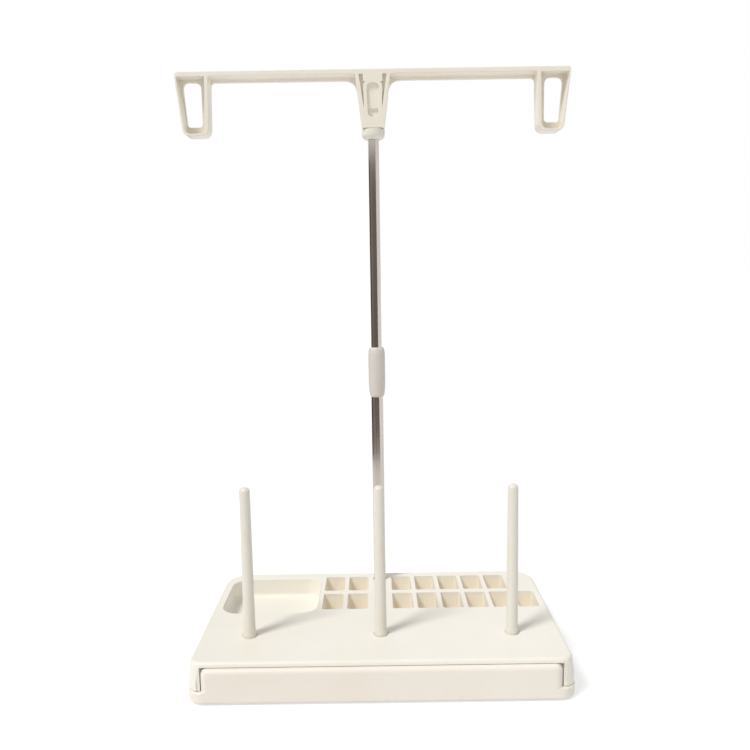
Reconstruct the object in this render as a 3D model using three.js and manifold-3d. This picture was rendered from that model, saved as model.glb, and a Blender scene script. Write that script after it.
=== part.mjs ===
// A thread spool stand: a moulded base with a drawer, bobbin cells and a notions tray, three spool pins,
// and a telescoping mast that carries a thread guide bar.
// Millimetres, X to the right, Y away from the user, Z up; the floor is z = 0.
import * as THREE from "three";
import { mergeVertices } from "three/addons/utils/BufferGeometryUtils.js";
import Module from "manifold-3d";

const wasm = await Module();
wasm.setup();

// General clearances
const GAP = 0.3;
const TURNED_GAP = 0.05;
const LEAD_IN = 0.6;
const ROUND_SEGMENTS = 24;

// Base housing
const BASE_WIDTH = 213.6;
const BASE_DEPTH = 127.8;
const FOOT_HEIGHT = 0.8;
const DECK_TOP = 23.7;
const DECK_THICKNESS = 2.2;
const WALL_TAPER = 1.3;
const WALL_THICKNESS = 2;
const FRONT_CORNER_RADIUS = 9;
const REAR_CORNER_RADIUS = 16;
const TOP_EDGE_RADIUS = 2;
const BOTTOM_EDGE_RADIUS = 1.5;

// Bobbin cells
const MAST_BLOCK_WIDTH = 16.4;
const CELL_WIDTH = 12.5;
const CELL_LENGTH = 23.2;
const REAR_CELL_LENGTH = 22.5;
const CELL_DEPTH = 15;
const CELL_CORNER_RADIUS = 1;
const CELL_RIM = 0.4;
const PARTITION = 3.4;
const CROSS_WALL = 5.2;
const CELLS_SIDE_MARGIN = 6;
const CELLS_REAR_MARGIN = 9.2;
const BANK_WALL = 1.6;
const BANK_FLOOR = 1.5;
const LEFT_CELLS = 2;

// Notions tray
const TRAY_SIDE_MARGIN = 7.3;
const TRAY_REAR_MARGIN = 11.8;
const TRAY_LEAD = 4.1;
const TRAY_DEPTH = 12;
const TRAY_CORNER_RADIUS = 10;
const TRAY_FLOOR_RADIUS = 2.5;
const TRAY_RIM = 0.7;
const TRAY_WALL = 1.6;

// Spool pins
const PIN_SIDE_INSET = 30.15;
const PIN_SETBACK = 33.4;
const PIN_HEIGHT = 89.1;
const PIN_FOOT_DIAMETER = 7.6;
const PIN_FOOT_HEIGHT = 5;
const PIN_BASE_DIAMETER = 6.8;
const PIN_TIP_DIAMETER = 6;
const PIN_DOME_HEIGHT = 2.4;
const PIN_FOOT_BEVEL = 4.5;
const PIN_SPIGOT_DIAMETER = 5;
const PIN_SPIGOT_LENGTH = 6.4;
const PIN_BOSS_DIAMETER = 10;
const PIN_BOSS_DROP = 5;
const PIN_RECESS_DIAMETER = 8.8;
const PIN_RECESS_DEPTH = 0.5;

// Mast
const MAST_REAR_MARGIN = 11.9;
const MAST_FLOOR = 1.5;
const MAST_BOSS_DIAMETER = 14;
const MAST_HOLE_CHAMFER = 0.6;
const LOWER_TUBE_DIAMETER = 8;
const LOWER_TUBE_BORE = 7.4;
const PLUG_LENGTH = 8;
const PLUG_FLANGE = 1;
const COUPLER_BOTTOM = 151.2;
const COUPLER_LENGTH = 33.2;
const COUPLER_OVERLAP = 26.8;
const COUPLER_DIAMETER = 11.2;
const COUPLER_END_DIAMETER = 8.8;
const COUPLER_LOWER_NOSE = 12;
const COUPLER_UPPER_NOSE = 5.5;
const COUPLER_BEVEL = 0.4;
const RING_DIAMETER = 9.6;
const RING_HEIGHT = 3.5;
const UPPER_TUBE_DIAMETER = 7;
const UPPER_TUBE_BORE = 6.2;
const UPPER_TUBE_OVERLAP = 22;
const SLIDER_LENGTH = 8;
const SLIDER_SPIGOT = 6;
const COLLAR_HEIGHT = 6.3;
const COLLAR_DIAMETER = 14.8;
const COLLAR_EDGE_REACH = 3.4;
const COLLAR_EDGE_RISE = 3.4;
const COLLAR_BEVEL = 0.3;
const COLLAR_SOCKET_DEPTH = 4.5;
const SPIGOT_DIAMETER = 5;
const SPIGOT_LENGTH = 19.3;

// Thread guide bar
const BAR_LENGTH = 251;
const BAR_TOP = 360.7;
const BAR_HEIGHT = 5;
const BAR_DEPTH = 12;
const BAR_EDGE = 0.6;
const BAR_END_RADIUS = 2.5;
const FLANGE_HEIGHT = 3.1;
const RIM = 1.5;
const INNER_RIM = 2.4;
const RIM_FILLET = 0.6;
const WEB = 2.4;
const LEG_WEB_SETBACK = 2.5;
const HOLLOW_TOP_RADIUS = 0.5;
const LOOP_HEIGHT = 39.5;
const LOOP_TOP_WIDTH = 21.7;
const LOOP_BOTTOM_WIDTH = 16.3;
const LOOP_OUTER_LEAN = 4.6;
const LOOP_BOTTOM_RADIUS = 5.5;
const LOOP_FILLET = 3;
const EYE_DROP = 4.6;
const EYE_HEIGHT = 27.9;
const EYE_TOP_WIDTH = 12;
const EYE_BOTTOM_WIDTH = 9.7;
const EYE_TOP_RADIUS = 4.4;
const EYE_BOTTOM_RADIUS = 2.6;
const EYE_END_INSET = 3.3;
const EYE_OUTER_LEAN = 2.3;
const LEG_HEIGHT = 36.1;
const LEG_BOTTOM_WIDTH = 14.4;
const LEG_TOP_WIDTH = 22.4;
const LEG_FILLET = 8;
const LEG_BAND = 6.4;
const LEG_CORNER_RADIUS = 1;
const BLOCK_WIDTH = 12.4;
const BLOCK_HEIGHT = 7.6;
const BEZEL_DROP = 6;
const BEZEL_HEIGHT = 25.5;
const BEZEL_TOP_WIDTH = 12.6;
const BEZEL_BOTTOM_WIDTH = 11;
const BEZEL_WALL = 2.3;
const BEZEL_RECESS = 1.6;
const OVAL_ROUNDNESS = 0.93;
const POCKET_HEIGHT = 7.5;
const POCKET_DEPTH = 2.8;

// Drawer
const PANEL_PROUD = 1;
const PANEL_SIDE_INSET = 7.8;
const PANEL_SLIT = 2.1;
const PANEL_SKIN = 2;
const PANEL_CORNER_RADIUS = 4;
const PANEL_EDGE_RADIUS = 3;
const PANEL_END_RADIUS = 4;
const SLIT_DEPTH = 2.2;
const SKIRT_HEIGHT = 6.6;
const SKIRT_EDGE = 0.4;
const DRAWER_INSET = 1.4;
const DRAWER_REAR_CLEARANCE = 1.6;
const DRAWER_WALL = 1.4;
const DRAWER_FLOOR = 1.4;
const STOP_TAB_LENGTH = 3;
const STOP_TAB_SETBACK = 6;
const HEADER_RIB_THICKNESS = 2.2;
const HEADER_RIB_HEIGHT = 1.6;
const HEADER_RIB_SETBACK = 1.6;
const GUIDE_GAP = 0.5;

// Bottom cover, screws and feet
const COVER_THICKNESS = 1.6;
const RUNNER_HEIGHT = 0.6;
const RUNNER_WIDTH = 3;
const RUNNER_INSET = 27.6;
const SCREW_SHANK = 2.9;
const SCREW_LENGTH = 7;
const SCREW_HEAD = 5.6;
const SCREW_HEAD_HEIGHT = 1.5;
const SCREW_EDGE = 0.4;
const SCREW_CUP_DIAMETER = 8.8;
const SCREW_CUP_HEIGHT = 3.2;
const SCREW_SEAT_HEIGHT = 1.7;
const SCREW_RECESS = 6.4;
const SCREW_BOSS_DIAMETER = 7;
const SCREW_SIDE_INSET = 14.8;
const SCREW_REAR_INSET = 18.4;
const SCREW_FRONT_LEAD = 7.7;
const FOOT_DIAMETER = 10;
const FOOT_EDGE = 0.4;
const FOOT_SIDE_INSET = 24.8;
const FOOT_FRONT_INSET = 13.4;
const FOOT_REAR_INSET = 10.4;

// Outside faces of the housing and the drawer's front
const HALF_WIDTH = BASE_WIDTH / 2;
const BASE_CENTRE_Y = PANEL_PROUD / 2;
const FRONT_Y = BASE_CENTRE_Y - BASE_DEPTH / 2;
const REAR_Y = BASE_CENTRE_Y + BASE_DEPTH / 2;
const HOUSING_BOTTOM = FOOT_HEIGHT;
const DECK_UNDERSIDE = DECK_TOP - DECK_THICKNESS;
const WALL_INSET = WALL_TAPER + WALL_THICKNESS;
const INNER_WIDTH = BASE_WIDTH - 2 * WALL_INSET;
const INNER_DEPTH = BASE_DEPTH - 2 * WALL_INSET;
const COVER_TOP = HOUSING_BOTTOM + COVER_THICKNESS;
const PLAN_RADII = [REAR_CORNER_RADIUS, REAR_CORNER_RADIUS, FRONT_CORNER_RADIUS, FRONT_CORNER_RADIUS];

// Places on the deck, measured from the rear and the sides of the housing
const CELL_PITCH = CELL_WIDTH + PARTITION;
const REAR_ROW_Y = REAR_Y - CELLS_REAR_MARGIN - REAR_CELL_LENGTH;
const CELLS_FRONT_Y = REAR_ROW_Y - CROSS_WALL - CELL_LENGTH;
const CELLS_ROOM = HALF_WIDTH - CELLS_SIDE_MARGIN - MAST_BLOCK_WIDTH / 2;
const RIGHT_FRONT_CELLS = Math.floor((CELLS_ROOM + PARTITION) / CELL_PITCH);
const RIGHT_REAR_CELLS = RIGHT_FRONT_CELLS - 1;
const BANK_BOTTOM = DECK_TOP - CELL_DEPTH - BANK_FLOOR;
const TRAY_LEFT_X = TRAY_SIDE_MARGIN - HALF_WIDTH;
const TRAY_RIGHT_X = -(MAST_BLOCK_WIDTH / 2 + LEFT_CELLS * CELL_PITCH);
const TRAY_FRONT_Y = CELLS_FRONT_Y - TRAY_LEAD;
const TRAY_REAR_Y = REAR_Y - TRAY_REAR_MARGIN;
const PIN_SPACING = HALF_WIDTH - PIN_SIDE_INSET;
const PIN_Y = FRONT_Y + PIN_SETBACK;
const MAST_Y = REAR_Y - MAST_REAR_MARGIN;

// Heights along the mast
const LOWER_TUBE_BOTTOM = COVER_TOP + GAP + MAST_FLOOR + GAP + PLUG_FLANGE;
const LOWER_TUBE_TOP = COUPLER_BOTTOM + COUPLER_OVERLAP;
const COUPLER_TOP = COUPLER_BOTTOM + COUPLER_LENGTH;
const UPPER_TUBE_BOTTOM = LOWER_TUBE_TOP - UPPER_TUBE_OVERLAP;
const LEG_BOTTOM = BAR_TOP - LEG_HEIGHT;
const COLLAR_TOP = LEG_BOTTOM - GAP;
const COLLAR_BOTTOM = COLLAR_TOP - COLLAR_HEIGHT;
const SPIGOT_TOP = COLLAR_TOP + SPIGOT_LENGTH;
const UPPER_TUBE_TOP = COLLAR_BOTTOM + COLLAR_SOCKET_DEPTH - GAP;

// Faces of the guide bar
const BAR_FRONT_Y = MAST_Y - BAR_DEPTH / 2;
const BAR_REAR_Y = BAR_FRONT_Y + BAR_DEPTH;
const WEB_FRONT_Y = BAR_REAR_Y - WEB;
const FLANGE_BOTTOM = BAR_TOP - FLANGE_HEIGHT;
const BAR_BOTTOM = BAR_TOP - BAR_HEIGHT;

// Faces of the drawer
const PANEL_WIDTH = BASE_WIDTH - 2 * PANEL_SIDE_INSET;
const PANEL_TOP = DECK_UNDERSIDE - 2 * GAP;
const PANEL_BOTTOM = HOUSING_BOTTOM + GAP / 2;
const PANEL_FRONT_Y = FRONT_Y - PANEL_PROUD;
const PANEL_REAR_Y = FRONT_Y + WALL_INSET;
const DRAWER_WIDTH = PANEL_WIDTH - 2 * DRAWER_INSET;
const DRAWER_REAR_Y = TRAY_FRONT_Y - TRAY_WALL - DRAWER_REAR_CLEARANCE;
const SKIRT_TOP = PANEL_BOTTOM + SKIRT_HEIGHT;
const SKIRT_REAR_Y = FRONT_Y + FRONT_CORNER_RADIUS;
const HEADER_RIB_BOTTOM = DECK_UNDERSIDE - HEADER_RIB_HEIGHT;
const DRAWER_SIDE_TOP = HEADER_RIB_BOTTOM - 2 * GAP;

// Heights and places of the screws and feet
const SCREW_CUP_TOP = HOUSING_BOTTOM + SCREW_CUP_HEIGHT;
const SCREW_SEAT = HOUSING_BOTTOM + SCREW_SEAT_HEIGHT;
const SCREW_X = HALF_WIDTH - SCREW_SIDE_INSET;
const SCREW_REAR_Y = REAR_Y - SCREW_REAR_INSET;
const SCREW_FRONT_Y = CELLS_FRONT_Y + SCREW_FRONT_LEAD;
const CROSSING_X = MAST_BLOCK_WIDTH / 2 + 3 * CELL_PITCH - PARTITION / 2;
const SCREW_SITES = {
  one: [-SCREW_X, SCREW_REAR_Y],
  two: [SCREW_X, SCREW_REAR_Y],
  three: [0, SCREW_FRONT_Y],
  four: [-SCREW_X, SCREW_FRONT_Y],
  five: [CROSSING_X, REAR_ROW_Y - CROSS_WALL / 2],
};
const FOOT_X = HALF_WIDTH - FOOT_SIDE_INSET;
const FOOT_SITES = {
  front_left: [-FOOT_X, FRONT_Y + FOOT_FRONT_INSET],
  front_right: [FOOT_X, FRONT_Y + FOOT_FRONT_INSET],
  rear_left: [-FOOT_X, REAR_Y - FOOT_REAR_INSET],
  rear_right: [FOOT_X, REAR_Y - FOOT_REAR_INSET],
};

// The manifold solid of a closed geometry.
function solid(geometry) {
  const bare = geometry.clone();
  bare.deleteAttribute("normal");
  bare.deleteAttribute("uv");
  const merged = mergeVertices(bare, 1e-4);
  const vertProperties = new Float32Array(merged.attributes.position.array);
  const triVerts = new Uint32Array(merged.index.array);
  return new wasm.Manifold(new wasm.Mesh({ numProp: 3, vertProperties, triVerts }));
}

// All solids of a list joined into one.
function joined(solids) {
  return solids.reduce((sum, next) => sum.add(next));
}

// A solid with each solid of a list cut out of it.
function cut(body, cutters) {
  return cutters.reduce((rest, cutter) => rest.subtract(cutter), body);
}

// A block between two corners.
function block(x0, x1, y0, y1, z0, z1) {
  const geometry = new THREE.BoxGeometry(x1 - x0, y1 - y0, z1 - z0);
  geometry.translate((x0 + x1) / 2, (y0 + y1) / 2, (z0 + z1) / 2);
  return solid(geometry);
}

// A turned solid about the vertical through (x, y), from its profile of [radius, z] points.
function turned(profile, x = 0, y = 0) {
  const points = profile.map(([radius, z]) => new THREE.Vector2(radius, z));
  const geometry = new THREE.LatheGeometry(points, ROUND_SEGMENTS);
  geometry.rotateX(Math.PI / 2);
  geometry.translate(x, y, 0);
  return solid(geometry);
}

// A plain upright cylinder.
function rod(radius, z0, z1, x = 0, y = 0) {
  return turned([[0, z0], [radius, z0], [radius, z1], [0, z1]], x, y);
}

// Points along a quarter of an ellipse, from (reach, 0) to (0, rise), as [inset, height] pairs.
function quarterRound(reach, rise, steps) {
  return Array.from({ length: steps + 1 }, (_, k) => {
    const angle = (k / steps) * (Math.PI / 2);
    return [reach * (1 - Math.sin(angle)), rise * (1 - Math.cos(angle))];
  });
}

// One ring of a rounded rectangle: radii run counter-clockwise from the corner at +X +Y.
function ring(width, depth, radii, steps) {
  const signs = [[1, 1], [-1, 1], [-1, -1], [1, -1]];
  return signs.flatMap(([sx, sy], corner) => {
    const radius = radii[corner];
    const cx = sx * (width / 2 - radius);
    const cy = sy * (depth / 2 - radius);
    return Array.from({ length: steps + 1 }, (_, k) => {
      const angle = (corner + k / steps) * (Math.PI / 2);
      return [cx + radius * Math.cos(angle), cy + radius * Math.sin(angle)];
    });
  });
}

// A block with rounded plan corners, whose sides step in by an inset at each height of its profile.
// Each profile entry is [z, inset across, inset along]; the second inset equals the first when left out.
function pillow(width, depth, radii, profile, steps = 6) {
  const positions = [];
  profile.forEach(([z, insetX, insetY = insetX]) => {
    const shrunk = radii.map((radius) => radius - Math.min(insetX, insetY));
    const outline = ring(width - 2 * insetX, depth - 2 * insetY, shrunk, steps);
    outline.forEach(([x, y]) => positions.push(x, y, z));
  });
  const count = positions.length / 3 / profile.length;
  const index = [];
  for (let level = 0; level + 1 < profile.length; level++) {
    for (let k = 0; k < count; k++) {
      const a = level * count + k;
      const b = level * count + ((k + 1) % count);
      index.push(a, b, b + count, a, b + count, a + count);
    }
  }
  const top = (profile.length - 1) * count;
  for (let k = 1; k + 1 < count; k++) {
    index.push(0, k + 1, k);
    index.push(top, top + k, top + k + 1);
  }
  const geometry = new THREE.BufferGeometry();
  geometry.setAttribute("position", new THREE.Float32BufferAttribute(positions, 3));
  geometry.setIndex(index);
  return solid(geometry);
}

// A flat outline in X and Z pushed back along Y from y0 to y1, its front and rear edges softened by a bevel.
function plate(shape, y0, y1, bevel = 0) {
  const geometry = new THREE.ExtrudeGeometry(shape, {
    depth: y1 - y0 - 2 * bevel,
    bevelEnabled: bevel > 0,
    bevelThickness: bevel,
    bevelSize: bevel,
    bevelOffset: -bevel,
    bevelSegments: 2,
    curveSegments: 5,
  });
  geometry.rotateX(Math.PI / 2);
  geometry.translate(0, y1 - bevel, 0);
  return solid(geometry);
}

// An outline through corner points [x, z, radius], each corner rounded by a curve tangent to both sides.
function roundedOutline(corners) {
  const shape = new THREE.Shape();
  corners.forEach(([x, z, radius], k) => {
    const before = corners[(k + corners.length - 1) % corners.length];
    const after = corners[(k + 1) % corners.length];
    const here = new THREE.Vector2(x, z);
    const toBefore = new THREE.Vector2(before[0], before[1]).sub(here).normalize();
    const toAfter = new THREE.Vector2(after[0], after[1]).sub(here).normalize();
    const half = toBefore.angleTo(toAfter) / 2;
    const reach = radius / Math.tan(half);
    const start = here.clone().addScaledVector(toBefore, reach);
    const end = here.clone().addScaledVector(toAfter, reach);
    if (k === 0) shape.moveTo(start.x, start.y);
    else shape.lineTo(start.x, start.y);
    if (radius > 0) shape.quadraticCurveTo(x, z, end.x, end.y);
  });
  shape.closePath();
  return shape;
}

// The named mesh of a solid.
function piece(name, body, colour, roughness, metalness) {
  const mesh = body.getMesh();
  const geometry = new THREE.BufferGeometry();
  const positions = new Float32Array(mesh.numVert * 3);
  for (let vertex = 0; vertex < mesh.numVert; vertex++) {
    for (let axis = 0; axis < 3; axis++) {
      positions[vertex * 3 + axis] = mesh.vertProperties[vertex * mesh.numProp + axis];
    }
  }
  geometry.setAttribute("position", new THREE.BufferAttribute(positions, 3));
  geometry.setIndex(new THREE.BufferAttribute(new Uint32Array(mesh.triVerts), 1));
  geometry.computeVertexNormals();
  const material = new THREE.MeshStandardMaterial({ color: colour, roughness, metalness });
  const named = new THREE.Mesh(geometry, material);
  named.name = name;
  return named;
}

// The left edges of the cells in a row, from the mast block outwards to the right and to the left.
function cellLefts(rightCount) {
  const start = MAST_BLOCK_WIDTH / 2;
  const right = Array.from({ length: rightCount }, (_, k) => start + k * CELL_PITCH);
  const left = Array.from({ length: LEFT_CELLS }, (_, k) => -start - CELL_WIDTH - k * CELL_PITCH);
  return [...right, ...left];
}

// One row of open bobbin cells.
function cellRow(rightCount, y0, length) {
  const floor = DECK_TOP - CELL_DEPTH;
  const profile = [[floor, CELL_RIM], [DECK_TOP - CELL_RIM, 0], [DECK_TOP + CELL_RIM, -2 * CELL_RIM]];
  const corners = Array(4).fill(CELL_CORNER_RADIUS);
  return cellLefts(rightCount).map((x) =>
    pillow(CELL_WIDTH, length, corners, profile, 2).translate([x + CELL_WIDTH / 2, y0 + length / 2, 0]),
  );
}

// The outside of the housing: tapering walls with rounded upper and lower edges.
function housingOutside() {
  const wide = (HOUSING_BOTTOM + DECK_TOP) / 2;
  const lower = quarterRound(BOTTOM_EDGE_RADIUS, BOTTOM_EDGE_RADIUS, 3);
  const upper = quarterRound(TOP_EDGE_RADIUS, TOP_EDGE_RADIUS, 4).reverse();
  const profile = [
    ...lower.map(([inset, rise]) => [HOUSING_BOTTOM + rise, inset]),
    [wide, 0],
    ...upper.map(([inset, rise]) => [DECK_TOP - rise, WALL_TAPER + inset]),
  ];
  return pillow(BASE_WIDTH, BASE_DEPTH, PLAN_RADII, profile, 8).translate([0, BASE_CENTRE_Y, 0]);
}

// A block with the plan of the housing's inner wall, drawn in by a margin.
function innerBlock(margin, z0, z1) {
  const shrunk = PLAN_RADII.map((radius) => radius - WALL_INSET - margin);
  const levels = [[z0, 0], [z1, 0]];
  const plan = pillow(INNER_WIDTH - 2 * margin, INNER_DEPTH - 2 * margin, shrunk, levels);
  return plan.translate([0, BASE_CENTRE_Y, 0]);
}

// The block of material that the bobbin cells are cut into.
function cellBank() {
  const rowEnd = (count) => MAST_BLOCK_WIDTH / 2 + count * CELL_PITCH - PARTITION + BANK_WALL;
  const left = -rowEnd(LEFT_CELLS);
  const front = CELLS_FRONT_Y - BANK_WALL;
  const rear = REAR_ROW_Y + REAR_CELL_LENGTH + BANK_WALL;
  return joined([
    block(left, rowEnd(RIGHT_FRONT_CELLS), front, REAR_ROW_Y - BANK_WALL, BANK_BOTTOM, DECK_UNDERSIDE + GAP),
    block(left, rowEnd(RIGHT_REAR_CELLS), front, rear, BANK_BOTTOM, DECK_UNDERSIDE + GAP),
  ]);
}

// The notions tray as a solid, grown outwards by a wall.
function trayBody(wall) {
  const floor = DECK_TOP - TRAY_DEPTH - wall;
  const fillet = quarterRound(TRAY_FLOOR_RADIUS, TRAY_FLOOR_RADIUS, 4);
  const rim = [[DECK_TOP - TRAY_RIM, 0], [DECK_TOP + TRAY_RIM, -2 * TRAY_RIM]];
  const top = wall > 0 ? [[DECK_UNDERSIDE + GAP, -wall]] : rim;
  const profile = [...fillet.map(([inset, rise]) => [floor + rise, inset - wall]), ...top];
  const radii = Array(4).fill(TRAY_CORNER_RADIUS);
  const tray = pillow(TRAY_RIGHT_X - TRAY_LEFT_X, TRAY_REAR_Y - TRAY_FRONT_Y, radii, profile);
  return tray.translate([(TRAY_LEFT_X + TRAY_RIGHT_X) / 2, (TRAY_FRONT_Y + TRAY_REAR_Y) / 2, 0]);
}

// The stepped hole of a spool pin, with the shallow recess for its foot.
function pinHole(x) {
  const bore = PIN_SPIGOT_DIAMETER / 2 + TURNED_GAP;
  const recess = PIN_RECESS_DIAMETER / 2;
  const seat = DECK_TOP - PIN_RECESS_DEPTH;
  const above = DECK_TOP + GAP;
  return turned([[0, 0], [bore, 0], [bore, seat], [recess, seat], [recess, above], [0, above]], x, PIN_Y);
}

// The blind hole that the mast stands in, with a chamfered mouth.
function mastHole() {
  const bore = LOWER_TUBE_DIAMETER / 2 + TURNED_GAP;
  const floor = LOWER_TUBE_BOTTOM - PLUG_FLANGE - GAP;
  const mouth = bore + 2 * MAST_HOLE_CHAMFER;
  const profile = [
    [0, floor],
    [bore, floor],
    [bore, DECK_TOP - MAST_HOLE_CHAMFER],
    [mouth, DECK_TOP + MAST_HOLE_CHAMFER],
    [0, DECK_TOP + MAST_HOLE_CHAMFER],
  ];
  return turned(profile, 0, MAST_Y);
}

// The ribs under the deck that hold the drawer in: two side guides and a header rib for the stop.
function drawerGuides() {
  const inner = DRAWER_WIDTH / 2 + GUIDE_GAP;
  const ribFront = PANEL_REAR_Y + HEADER_RIB_SETBACK;
  const top = DECK_UNDERSIDE + GAP;
  const reach = INNER_WIDTH / 2 + GAP;
  const header = block(-reach, reach, ribFront, ribFront + HEADER_RIB_THICKNESS, HEADER_RIB_BOTTOM, top);
  const sides = [-1, 1].map((side) => {
    const edges = [side * inner, side * (inner + DRAWER_WALL)].sort((a, b) => a - b);
    return block(edges[0], edges[1], PANEL_REAR_Y + GAP, DRAWER_REAR_Y, SCREW_CUP_TOP, top);
  });
  return joined([header, ...sides]);
}

// The returns of the two front posts, which close the slits beside the drawer's front.
function postReturns() {
  const inner = PANEL_WIDTH / 2 + GAP;
  const front = PANEL_FRONT_Y + SLIT_DEPTH;
  const returns = [-1, 1].map((side) => {
    const edges = [side * inner, side * (INNER_WIDTH / 2 + GAP)].sort((a, b) => a - b);
    return block(edges[0], edges[1], front, front + WALL_THICKNESS, SKIRT_TOP + GAP, DECK_UNDERSIDE + GAP);
  });
  return joined(returns).intersect(housingOutside());
}

// The housing's outside walls and deck, open below and in front.
function housingShell() {
  const opening = PANEL_WIDTH / 2 + PANEL_SLIT;
  return cut(housingOutside(), [
    innerBlock(0, 0, DECK_UNDERSIDE),
    block(-opening, opening, PANEL_FRONT_Y, PANEL_REAR_Y + GAP, 0, PANEL_TOP + GAP / 2),
    block(-HALF_WIDTH, HALF_WIDTH, PANEL_FRONT_Y, SKIRT_REAR_Y + GAP, 0, SKIRT_TOP + GAP),
  ]);
}

function baseHousing() {
  const pinXs = [-PIN_SPACING, 0, PIN_SPACING];
  const bossBottom = DECK_UNDERSIDE - PIN_BOSS_DROP;
  const pinBosses = pinXs.map((x) => rod(PIN_BOSS_DIAMETER / 2, bossBottom, DECK_UNDERSIDE + GAP, x, PIN_Y));
  const mastBoss = rod(MAST_BOSS_DIAMETER / 2, COVER_TOP + GAP, BANK_BOTTOM + GAP, 0, MAST_Y);
  const screwXYs = Object.values(SCREW_SITES);
  const screwBosses = screwXYs.map(([x, y]) =>
    rod(SCREW_BOSS_DIAMETER / 2, SCREW_CUP_TOP + GAP, screwBossTop(x), x, y),
  );
  const bosses = [...pinBosses, mastBoss, ...screwBosses];
  const ribs = [drawerGuides(), postReturns()];
  const filled = joined([housingShell(), cellBank(), trayBody(TRAY_WALL), ...bosses, ...ribs]);
  const pilots = screwXYs.map(([x, y]) =>
    rod(SCREW_SHANK / 2 + TURNED_GAP, 0, SCREW_SEAT + SCREW_LENGTH + GAP, x, y),
  );
  return cut(filled, [
    trayBody(0),
    ...cellRow(RIGHT_FRONT_CELLS, CELLS_FRONT_Y, CELL_LENGTH),
    ...cellRow(RIGHT_REAR_CELLS, REAR_ROW_Y, REAR_CELL_LENGTH),
    ...pinXs.map(pinHole),
    mastHole(),
    ...pilots,
  ]);
}

// A screw boss under the tray ends in the tray's floor, the others in the deck.
function screwBossTop(x) {
  const trayFloor = DECK_TOP - TRAY_DEPTH - TRAY_WALL + GAP;
  return x < TRAY_RIGHT_X ? trayFloor : DECK_UNDERSIDE + GAP;
}

function bottomCover() {
  const sheet = innerBlock(GAP, HOUSING_BOTTOM, COVER_TOP);
  const half = RUNNER_WIDTH / 2;
  const runnerTop = COVER_TOP + RUNNER_HEIGHT;
  const runnerX = DRAWER_WIDTH / 2 - RUNNER_INSET;
  const runners = [-runnerX, runnerX].map((x) =>
    block(x - half, x + half, PANEL_REAR_Y + GAP, DRAWER_REAR_Y, COVER_TOP - GAP, runnerTop),
  );
  const sites = Object.values(SCREW_SITES);
  const cups = sites.map(([x, y]) => rod(SCREW_CUP_DIAMETER / 2, COVER_TOP - GAP, SCREW_CUP_TOP, x, y));
  const holes = sites.map(([x, y]) => {
    const recess = SCREW_RECESS / 2;
    const bore = SCREW_SHANK / 2 + TURNED_GAP;
    const above = SCREW_CUP_TOP + GAP;
    const shoulder = [[recess, SCREW_SEAT], [bore, SCREW_SEAT]];
    const profile = [[0, 0], [recess, 0], ...shoulder, [bore, above], [0, above]];
    return turned(profile, x, y);
  });
  return cut(joined([sheet, ...runners, ...cups]), holes);
}

function coverScrew([x, y]) {
  const head = SCREW_HEAD / 2;
  const shank = SCREW_SHANK / 2;
  const bottom = SCREW_SEAT - SCREW_HEAD_HEIGHT;
  const tip = SCREW_SEAT + SCREW_LENGTH;
  const profile = [
    [0, bottom],
    [head - SCREW_EDGE, bottom],
    [head, bottom + SCREW_EDGE],
    [head, SCREW_SEAT],
    [shank, SCREW_SEAT],
    [shank, tip - shank],
    [SCREW_EDGE, tip],
    [0, tip],
  ];
  return turned(profile, x, y);
}

function rubberFoot([x, y]) {
  const radius = FOOT_DIAMETER / 2;
  const side = [[radius - FOOT_EDGE, 0], [radius, FOOT_EDGE], [radius, FOOT_HEIGHT]];
  const profile = [[0, 0], ...side, [0, FOOT_HEIGHT]];
  return turned(profile, x, y);
}

// The band along the foot of the drawer's front, which follows the housing's plan round both corners.
function drawerSkirt() {
  const lower = quarterRound(BOTTOM_EDGE_RADIUS, BOTTOM_EDGE_RADIUS, 3);
  const profile = [
    ...lower.map(([inset, rise]) => [PANEL_BOTTOM + rise, inset]),
    [SKIRT_TOP - SKIRT_EDGE, 0],
    [SKIRT_TOP, SKIRT_EDGE],
  ];
  const outside = pillow(BASE_WIDTH, REAR_Y - PANEL_FRONT_Y, PLAN_RADII, profile, 8);
  const behind = block(-HALF_WIDTH, HALF_WIDTH, SKIRT_REAR_Y, REAR_Y + GAP, 0, DECK_TOP);
  return cut(outside.translate([0, (PANEL_FRONT_Y + REAR_Y) / 2, 0]), [innerBlock(0, 0, DECK_TOP), behind]);
}

// The drawer's front: a panel with rounded ends and edges above the skirt, hollow behind.
function drawerFront() {
  const height = PANEL_TOP - PANEL_BOTTOM;
  const thickness = PANEL_REAR_Y - PANEL_FRONT_Y;
  const edge = quarterRound(PANEL_END_RADIUS, PANEL_END_RADIUS, 6);
  const profile = edge.map(([inset, rise]) => [rise, inset, (inset * PANEL_EDGE_RADIUS) / PANEL_END_RADIUS]);
  profile.push([thickness, 0, 0]);
  const corners = Array(4).fill(PANEL_CORNER_RADIUS);
  const outside = pillow(PANEL_WIDTH, height, corners, profile);
  const hollow = pillow(PANEL_WIDTH, height, corners, [
    [PANEL_SKIN, PANEL_SKIN],
    [thickness + GAP, PANEL_SKIN],
  ]);
  const middle = (PANEL_TOP + PANEL_BOTTOM) / 2;
  const upright = (body) => body.rotate([-90, 0, 0]).translate([0, PANEL_FRONT_Y, middle]);
  return joined([upright(outside), drawerSkirt()]).subtract(upright(hollow));
}

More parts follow.
